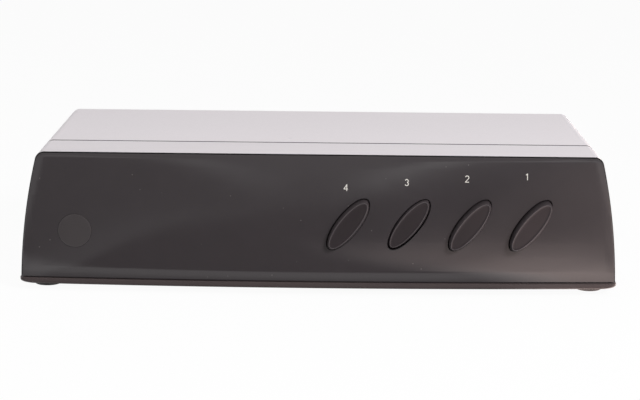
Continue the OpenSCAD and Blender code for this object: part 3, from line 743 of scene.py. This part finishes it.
class SELECTOR_OT_buttons(bpy.types.Operator):
    """Build the four oval button caps, each with a raised ridge and a dished face"""

    bl_idname = "selector.buttons"
    bl_label = "Buttons"

    def execute(self, context):
        button = props().button
        for number in BUTTONS:
            low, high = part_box(f"button_{number}")
            centre = button_centre(number)
            sections = [(share, depth * button.dish, rubbed_and_highlit) for share, depth, rubbed_and_highlit in CAP_FACE]
            sections += [(share, depth * button.side_fall, rubbed_and_highlit) for share, depth, rubbed_and_highlit in CAP_SIDE]
            sections.append((0, high.y - low.y, CAP_SIDE[-1][2]))
            bm = bmesh.new()
            # each point's polish, which also paints it paler as a highlight
            wear_and_highlight = bm.verts.layers.float.new("wear_and_highlight")
            rings = []
            for share, depth, rubbed_and_highlit in sections:
                at, inset = Vector((centre.x, low.y + depth, centre.z)), share * button.ridge_in
                rings.append(oval_ring(bm, at, button.long - 2 * inset, button.wide - 2 * inset, button.tilt))
                for edge in rings[-1]:
                    for vert in edge.verts:
                        vert[wear_and_highlight] = rubbed_and_highlit
            bridge(bm, rings)
            fill_openings(bm)
            add_piece(bm, f"cap_{number}", f"button_{number}", "button_abs", [f"button_{number}"])
        return {"FINISHED"}


def plan_ring(bm, z, inset, back, corner):
    """Half a ring round the tray as seen from above: a bowed front, a straight side and round corners."""
    case, base = props().case, props().base
    half = case.width / 2 + base.lip_out - inset
    front = front_y() - base.lip_out + inset
    rise = props().panel.bow
    radius = ((case.width / 2) ** 2 + rise**2) / (2 * rise)
    before = set(bm.verts)
    start = bm.verts.new((0, front - rise, z))
    angle = math.asin(half / radius)
    turn = bmesh.ops.spin(
        bm, geom=[start], cent=(0, front - rise + radius, z), axis=(0, 0, 1), angle=angle, steps=24)
    end = next(g for g in turn["geom_last"] if isinstance(g, bmesh.types.BMVert))
    side = bmesh.ops.extrude_vert_indiv(bm, verts=[end])["verts"][0]
    side.co = (half, back, z)
    last = bmesh.ops.extrude_vert_indiv(bm, verts=[side])["verts"][0]
    last.co = (0, back, z)
    bmesh.ops.bevel(
        bm, geom=[end, side], offset=corner, offset_type="OFFSET", affect="VERTICES", segments=6, profile=0.5,
        material=-1)
    made = {v for v in bm.verts if v not in before}
    return [e for e in bm.edges if e.verts[0] in made and e.verts[1] in made]


# How much rounder the corners of the tray's lip get for each millimetre that it draws in underneath
CORNER_SPREAD = 2.2


class SELECTOR_OT_tray(bpy.types.Operator):
    """Build the tray with its lip, its tongue and the pockets underneath"""

    bl_idname = "selector.tray"
    bl_label = "Bottom tray"

    def execute(self, context):
        case, base = props().case, props().base
        low, back = TRAY_LOW.z, TRAY_HIGH.y
        floor, lip_top = low + case.wall, low + base.lip_h
        top, r, edge = lip_top + base.tongue_h, base.under_r, base.lip_edge
        turn = [math.radians(a) for a in (90, 70, 50, 30, 10)]
        sections = [(low + r * (1 - math.sin(a)), r * (1 - math.cos(a))) for a in turn]
        sections = [(z, inset, back - inset, base.corner_r + CORNER_SPREAD * inset) for z, inset in sections]
        sections.append((lip_top - edge, 0, back, base.corner_r))
        sections.append((lip_top, edge, back - edge, base.corner_r - edge))
        tongue = base.lip_out + case.wall + case.seam_gap + base.tongue_play
        tongue_back = back - base.tongue_end
        sections += [(z, tongue, tongue_back, base.tongue_r) for z in (lip_top + RING_STEP, top)]
        inner, wall = tongue + base.tongue_t, tongue_back - base.tongue_t
        sections += [(z, inner, wall, base.tongue_r / 2) for z in (top + RING_STEP, floor)]
        bm = bmesh.new()
        bridge(bm, [plan_ring(bm, *section) for section in sections])
        mirror_x(bm)
        fill_openings(bm, floor)
        for foot in FEET:
            foot_low, foot_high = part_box(f"foot_{foot}")
            centre = (foot_low + foot_high) / 2
            radius = (foot_high.x - foot_low.x) / 2 + case.seam_gap
            self.pocket(bm, centre.x, centre.y, radius, low, foot_high.z)
        for side in (-1, 1):
            for behind in (base.screw_front, case.depth - base.screw_back):
                x = side * (case.width / 2 - base.screw_side)
                self.pocket(bm, x, front_y() + behind, base.pocket_r, low, base.pocket_top)
        fill_flat(bm, 2, low)
        add_piece(bm, "tray_moulding", "case", "base_abs", ["bottom_tray"])
        return {"FINISHED"}

    def pocket(self, bm, x, y, radius, low, high):
        """A round pocket in the underside, with a rounded edge."""
        edge, rings = props().base.pocket_edge, []
        for z, r in ((low, radius + edge), (low + edge, radius), (high, radius)):
            rings.append(ring_at(bm, Matrix.Translation((x, y, z)), r, segments=40))
        bridge(bm, rings)
        bmesh.ops.contextual_create(bm, geom=rings[-1])


class SELECTOR_OT_feet(bpy.types.Operator):
    """Build the four rubber feet"""

    bl_idname = "selector.feet"
    bl_label = "Feet"

    def execute(self, context):
        r = props().base.foot_edge
        for foot in FEET:
            low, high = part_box(f"foot_{foot}")
            centre = (low + high) / 2
            radius = (high.x - low.x) / 2
            bm = bmesh.new()
            bmesh.ops.create_cone(
                bm, cap_ends=True, segments=48, radius1=radius, radius2=radius, depth=high.z - low.z,
                matrix=Matrix.Translation(centre))
            bevel_where(bm, lambda e: all(v.co.z < centre.z for v in e.verts), r, segments=4)
            add_piece(bm, f"foot_pad_{foot}", "case", "foot_rubber", [f"foot_{foot}"])
        return {"FINISHED"}


class SELECTOR_OT_rear(bpy.types.Operator):
    """Round the edges of the rear panel, the terminal blocks and the screws"""

    bl_idname = "selector.rear"
    bl_label = "Rear panel and terminals"

    def execute(self, context):
        mould_edge, screw_edge = 0.25 * MM, 0.2 * MM
        rounded_copy("rear_panel", "rear_plate", "rear_abs", mould_edge)
        for block in BLOCKS:
            rounded_copy(f"terminal_block_{block}", f"terminal_moulding_{block}", "terminal_abs", mould_edge)
        for screws in ("case", "board", "terminal"):
            rounded_copy(f"{screws}_screws", f"{screws}_pan_heads", "screw_steel", screw_edge)
        return {"FINISHED"}


class SELECTOR_OT_levers(bpy.types.Operator):
    """Round the edges of the twenty terminal levers, red for plus and black for minus"""

    bl_idname = "selector.levers"
    bl_label = "Levers"

    def execute(self, context):
        lever_edge = 0.35 * MM
        for block in BLOCKS:
            for way in WAYS:
                slot = "lever_red" if way.endswith("plus") else "lever_black"
                rounded_copy(f"lever_{block}_{way}", f"tab_{block}_{way}", slot, lever_edge, segments=3)
        return {"FINISHED"}


class SELECTOR_OT_inside(bpy.types.Operator):
    """Give the pieces inside the case their own finishes"""

    bl_idname = "selector.inside"
    bl_label = "Inner pieces"

    def execute(self, context):
        for entry in frame["record"]["subparts"]:
            piece = frame["nodes"][entry["node"]]
            if not piece.hide_render:
                piece.data.materials.clear()
                piece.data.materials.append(finish_of(entry["material_slot"]))
        return {"FINISHED"}


def arc(x, z, radius, first, last):
    """Points along part of a circle, at angles in degrees."""
    steps = 12
    turn = [math.radians(first + (last - first) * i / steps) for i in range(steps + 1)]
    return [(x + radius * math.cos(a), z + radius * math.sin(a)) for a in turn]


# The strokes of the plain digits and marks, in millimetres round the middle of each
STROKES = {
    "+": [[(-0.8, 0), (0.8, 0)], [(0, -0.8), (0, 0.8)]],
    "-": [[(-0.8, 0), (0.8, 0)]],
    "I": [[(0, 1.35), (0, -1.35)]],
    "N": [[(-0.7, -1.35), (-0.7, 1.35), (0.7, -1.35), (0.7, 1.35)]],
    "L": [[(-0.6, 1.35), (-0.6, -1.35), (0.75, -1.35)]],
    "R": [[(-0.65, -1.35), (-0.65, 1.35), (0.1, 1.35), *arc(0.1, 0.68, 0.67, 75, -90), (-0.65, 0)],
          [(0.05, 0), (0.75, -1.35)]],
    "1": [[(-0.55, 0.8), (-0.1, 0.98), (0.12, 1.35), (0.12, -1.35)]],
    "2": [[*arc(0, 0.6, 0.72, 165, -38), (-0.72, -1.3), (0.8, -1.3)]],
    "3": [arc(0, 0.65, 0.62, 160, -75), arc(0, -0.6, 0.7, 80, -160)],
    "4": [[(0.38, -1.35), (0.38, 1.3), (-0.82, -0.55), (0.85, -0.55)]],
}
# The middle of each button's digit on the front, across and up, in millimetres
DIGIT_PLACES = {1: (86.5, 50.7), 2: (61.5, 49.6), 3: (36.4, 47.9), 4: (11.1, 45.5)}
# Sizes of the marks on the back: above the terminals, and below them with thinner strokes
MARK_SIZE, SIGN_SIZE = 1.1, 0.8


def held_width(points, reach=0.1):
    """The same stroke with points close to each sharp corner, so that its straight runs keep their width."""
    points = [Vector(p) for p in points]
    held = [points[0]]
    for before, corner, after in zip(points, points[1:], points[2:]):
        into, out = (corner - before).normalized(), (after - corner).normalized()
        sharp = into.angle(out) > math.radians(30)
        held += [corner - into * reach, corner, corner + out * reach] if sharp else [corner]
    return held + [points[-1]]


def stroked(bm, words, stroke, place, size=1.0, pitch=1.9, turned=False):
    """Adds flat solid strokes for some words, centred on a place and facing front, or back if turned."""
    curve = bpy.data.curves.new("lettering", "CURVE")
    curve.dimensions, curve.use_fill_caps = "3D", True
    curve.bevel_depth, curve.bevel_resolution = stroke / 2, 2
    for i, letter in enumerate(words):
        shift = (i - (len(words) - 1) / 2) * pitch * size
        for points in STROKES[letter]:
            points = held_width(points)
            spline = curve.splines.new("POLY")
            spline.points.add(len(points) - 1)
            for point, (x, z) in zip(spline.points, points):
                point.co = ((x * size + shift) * MM, 0, z * size * MM, 1)
    holder = bpy.data.objects.new("lettering", curve)
    bpy.context.scene.collection.objects.link(holder)
    mesh = bpy.data.meshes.new_from_object(holder)
    bpy.data.objects.remove(holder)
    bpy.data.curves.remove(curve)
    flat = Matrix.Diagonal((1, props().panel.ink_t / stroke, 1, 1))
    mesh.transform(Matrix.Translation(place) @ Matrix.Rotation(math.pi if turned else 0, 4, "Z") @ flat)
    bm.from_mesh(mesh)
    bpy.data.meshes.remove(mesh)


class SELECTOR_OT_print(bpy.types.Operator):
    """Print the button numbers on the front and the plain marks on the back"""

    bl_idname = "selector.print"
    bl_label = "Printed numbers"

    def execute(self, context):
        bm = bmesh.new()
        for number, (x, z) in DIGIT_PLACES.items():
            stroked(bm, str(number), props().panel.stroke, (x * MM, 0, z * MM))
        for v in bm.verts:
            v.co.y += front_y() + face_y(v.co.x, v.co.z)
        add_piece(bm, "printed_numbers", "case", "panel_abs", finish="print")
        self.back()
        return {"FINISHED"}

    def back(self):
        """Plain marks round the terminals: a number for each pair of speakers, L and R, plus and minus."""
        panel = props().panel
        fine = panel.stroke * SIGN_SIZE
        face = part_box("rear_panel")[1].y
        bm = bmesh.new()
        for block in BLOCKS:
            low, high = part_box(f"terminal_block_{block}")
            mark, middle = "IN" if block == "amp" else block, (low.x + high.x) / 2
            stroked(bm, mark, panel.stroke, (middle, face, high.z + panel.mark_rise), MARK_SIZE, turned=True)
            ways = [(a.x + b.x) / 2 for a, b in (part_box(f"lever_{block}_{way}") for way in WAYS)]
            for x, way in zip(ways, WAYS):
                sign = "+" if way.endswith("plus") else "-"
                stroked(bm, sign, fine, (x, face, low.z - panel.sign_drop), SIGN_SIZE, turned=True)
            for letter, pair in (("L", ways[:2]), ("R", ways[2:])):
                at = (sum(pair) / 2, face, low.z - panel.mark_drop)
                stroked(bm, letter, fine, at, SIGN_SIZE, turned=True)
        add_piece(bm, "printed_marks", "case", "rear_abs", finish="print")


class SELECTOR_OT_stage(bpy.types.Operator):
    """Set up the camera, the lights and the pale floor"""

    bl_idname = "selector.stage"
    bl_label = "Stage"

    def execute(self, context):
        self.camera()
        self.floor()
        self.world()
        self.lamp("key_softbox", place=(0.6, -0.8, 0.62), width=0.34, height=0.3, power=11.4)
        self.lamp("left_softbox", place=(-0.75, -0.15, 1.05), width=0.55, height=0.45, power=3.2)
        return {"FINISHED"}

    def camera(self):
        """The photograph's view, fitted to the edges of the case."""
        focal_px, width_px = 2050, 640
        place = Vector((0.66, -906.7, 195.18)) * MM
        pitch, yaw, roll = (math.radians(a) for a in (10.459, -0.018, 0.621))
        ahead = Vector((math.sin(yaw) * math.cos(pitch), math.cos(yaw) * math.cos(pitch), -math.sin(pitch)))
        right = Vector((math.cos(yaw), -math.sin(yaw), 0))
        up = right.cross(ahead)
        level = right * math.cos(roll) + up * math.sin(roll)
        upright = up * math.cos(roll) - right * math.sin(roll)
        data = bpy.data.cameras.new("camera")
        data.sensor_width = 36
        data.lens = focal_px / width_px * data.sensor_width
        data.clip_start, data.clip_end = 0.01, 50
        camera = bpy.data.objects.new("camera", data)
        turn = Matrix((level, upright, -ahead)).transposed().to_4x4()
        camera.matrix_world = Matrix.Translation(place) @ turn
        bpy.context.scene.collection.objects.link(camera)
        bpy.context.scene.camera = camera

    def floor(self):
        """Pale paper that keeps the object's soft shadow; what the glossy front mirrors of it is a painted
        pattern of light.
        """
        bm = bmesh.new()
        bmesh.ops.create_grid(bm, x_segments=1, y_segments=1, size=20)
        mesh = bpy.data.meshes.new("floor")
        bm.to_mesh(mesh)
        bm.free()
        made, tree, place = new_material("pale_paper")
        rays = add_node(tree, "ShaderNodeLightPath").outputs
        lit, warm = self.mirrored(tree, place)
        lit = add_node(tree, "ShaderNodeMix", {"data_type": "FLOAT"}, {
            0: rays["Is Glossy Ray"], 2: 1.0, 3: lit})
        warm = add_node(tree, "ShaderNodeMath", {"operation": "MULTIPLY"}, {
            0: warm, 1: rays["Is Glossy Ray"]})
        tint = add_node(tree, "ShaderNodeMix", {"data_type": "RGBA"}, {
            "Factor": warm.outputs[0], 6: (1, 1, 1, 1), 7: (1.0, 0.82, 0.77, 1)})
        white = add_node(tree, "ShaderNodeEmission", inputs={
            "Color": tint.outputs[2], "Strength": lit.outputs[0]})
        paper = add_node(tree, "ShaderNodeBsdfDiffuse", inputs={"Color": linear("#F4F4F4")})
        # the camera sees almost pure white, and reflections see nothing but the light written above
        seen = add_node(tree, "ShaderNodeMath", {"operation": "MAXIMUM"}, {
            0: rays["Is Camera Ray"], 1: rays["Is Transmission Ray"]})
        share = add_node(tree, "ShaderNodeMath", {"operation": "MULTIPLY"}, {0: seen.outputs[0], 1: 0.95})
        share = add_node(tree, "ShaderNodeMath", {"operation": "MAXIMUM"}, {
            0: share.outputs[0], 1: rays["Is Glossy Ray"]})
        mixed = add_node(tree, "ShaderNodeMixShader", inputs={
            0: share.outputs[0], 1: paper.outputs[0], 2: white.outputs[0]})
        # from below the floor is clear, so that the underside can be looked at
        below = add_node(tree, "ShaderNodeNewGeometry").outputs["Backfacing"]
        clear = add_node(tree, "ShaderNodeBsdfTransparent")
        mixed = add_node(tree, "ShaderNodeMixShader", inputs={
            0: below, 1: mixed.outputs[0], 2: clear.outputs[0]})
        add_node(tree, "ShaderNodeOutputMaterial", inputs={"Surface": mixed.outputs[0]})
        mesh.materials.append(made)
        floor = bpy.data.objects.new("floor", mesh)
        bpy.context.scene.collection.objects.link(floor)

    def mirrored(self, tree, place):
        """The painted light that the glossy front mirrors from the floor: how bright and how warm it is in
        each place.
        """
        across = add_node(tree, "ShaderNodeSeparateXYZ", inputs={0: place}).outputs
        x = across["X"]
        ahead = add_node(tree, "ShaderNodeMath", {"operation": "SUBTRACT"}, {0: front_y(), 1: across["Y"]})
        ahead = ahead.outputs[0]
        # places across the floor count from the object's middle, or from a line that slants forward from
        # there, slightly to the right or more to the left
        beside, past = (add_node(tree, "ShaderNodeMath", {"operation": "MULTIPLY_ADD"}, {
            0: ahead, 1: slope, 2: x}).outputs[0] for slope in (-0.02, 0.156))
        lit = self.sum_areas(tree, level=0.55, areas=(
            # painted light: a dim lane lies straight ahead, with a brighter rim along its left and a bright
            # haze beyond it
            ((beside, -122, -114, 0.0, -0.47), (ahead, 6000, 2500, 0.0, 1.0)),
            ((beside, -150, -124, 0.0, 0.27),),
            ((ahead, 1900, 3000, 0.0, 0.2),),
            ((ahead, 5000, 12000, 0.0, -0.2),),
            # a painted pool of light lies at the right, close to the object
            ((ahead, 220, 60, 0.0, 2.25), (past, 68, 110, 0.0, 1.0), (past, 175, 125, 0.4, 1.0)),
            ((ahead, 900, 100, 0.0, 1.84), (past, 68, 110, 0.0, 1.0), (past, 175, 125, 0.4, 1.0)),
            # a painted bright strip lies at the foot, with painted shade where the object stands
            ((ahead, 85, 45, 0.0, 1.17),),
            ((ahead, 26, 8, 0.0, -0.67),),
            # the floor beside the object is painted bright
            ((x, 140, 185, 0.0, 0.4),),
            ((x, 190, 300, 0.0, 1.1),),
            ((x, -170, -280, 0.0, 0.8),),
        ))
        # a painted warm glow lies in the pool of light at the right
        warm = self.sum_areas(tree, level=0.0, areas=(
            ((past, 60, 120, 0.0, 1.0), (ahead, 1000, 100, 0.0, 1.0)),
        ))
        return lit, warm

    def sum_areas(self, tree, level, areas):
        """Adds areas to an even level. An area is the product of smooth steps, and a step holds its distance,
        the places in millimetres where it starts and ends, and its values there."""
        for area in areas:
            share = 1.0
            for distance, start, end, low, high in area:
                step = add_node(tree, "ShaderNodeMapRange", {"interpolation_type": "SMOOTHSTEP"}, {
                    "Value": distance, "From Min": start * MM, "From Max": end * MM,
                    "To Min": low, "To Max": high})
                share = add_node(tree, "ShaderNodeMath", {"operation": "MULTIPLY"}, {
                    0: share, 1: step.outputs[0]}).outputs[0]
            level = add_node(tree, "ShaderNodeMath", {"operation": "ADD"}, {0: level, 1: share}).outputs[0]
        return level

    def world(self):
        """Even studio light, seen as plain white."""
        world = bpy.data.worlds.new("studio")
        bpy.context.scene.world = world
        world.use_nodes = True
        tree = world.node_tree
        tree.nodes.clear()
        rays = add_node(tree, "ShaderNodeLightPath").outputs
        seen = 0.0
        for ray in ("Is Camera Ray", "Is Glossy Ray", "Is Transmission Ray"):
            seen = add_node(tree, "ShaderNodeMath", {"operation": "MAXIMUM"}, {
                0: seen, 1: rays[ray]}).outputs[0]
        # what lights the object is dimmer than the white that is seen
        strength = add_node(tree, "ShaderNodeMapRange", inputs={"Value": seen, "To Min": 0.24, "To Max": 1.0})
        sky = add_node(tree, "ShaderNodeBackground", inputs={
            "Color": (1, 1, 1, 1), "Strength": strength.outputs["Result"]})
        add_node(tree, "ShaderNodeOutputWorld", inputs={"Surface": sky.outputs[0]})
        bpy.context.scene.view_settings.view_transform = "Standard"

    def lamp(self, name, place, width, height, power):
        """A softbox turned to the front of the case."""
        data = bpy.data.lights.new(name, "AREA")
        data.shape, data.size, data.size_y, data.energy = "RECTANGLE", width, height, power
        lamp = bpy.data.objects.new(name, data)
        lamp.location = place
        # kept out of reflections, so that the pale cover glares from no side
        lamp.visible_glossy = False
        target = Vector((0, -0.03, 0.03))
        lamp.rotation_euler = (target - Vector(place)).to_track_quat("-Z", "Y").to_euler()
        bpy.context.scene.collection.objects.link(lamp)


class SELECTOR_PT_panel(bpy.types.Panel):
    """Lists the pieces of the speaker selector"""

    bl_label = "Speaker selector"
    bl_idname = "SELECTOR_PT_panel"
    bl_space_type = "VIEW_3D"
    bl_region_type = "UI"
    bl_category = "Selector"

    def draw(self, context):
        for operator in OPERATORS:
            self.layout.operator(operator.bl_idname)
        settings = props()
        for group in (settings.case, settings.panel, settings.base, settings.button, settings.finish):
            box = self.layout.box()
            for name in group.bl_rna.properties.keys():
                if name not in ("rna_type", "name"):
                    box.prop(group, name)


OPERATORS = (
    SELECTOR_OT_cover,
    SELECTOR_OT_front_panel,
    SELECTOR_OT_plug,
    SELECTOR_OT_buttons,
    SELECTOR_OT_tray,
    SELECTOR_OT_feet,
    SELECTOR_OT_rear,
    SELECTOR_OT_levers,
    SELECTOR_OT_inside,
    SELECTOR_OT_print,
    SELECTOR_OT_stage,
)
GROUPS = (CaseSizes, PanelSizes, BaseSizes, ButtonSizes, Finishes, SelectorSettings)


def register():
    for item in (*GROUPS, *OPERATORS, SELECTOR_PT_panel):
        bpy.utils.register_class(item)
    bpy.types.Scene.selector = PointerProperty(type=SelectorSettings)


def unregister():
    del bpy.types.Scene.selector
    for item in reversed((*GROUPS, *OPERATORS, SELECTOR_PT_panel)):
        bpy.utils.unregister_class(item)


def main():
    register()
    for operator in OPERATORS:
        area, action = operator.bl_idname.split(".")
        getattr(getattr(bpy.ops, area), action)()


if __name__ == "__main__":
    main()
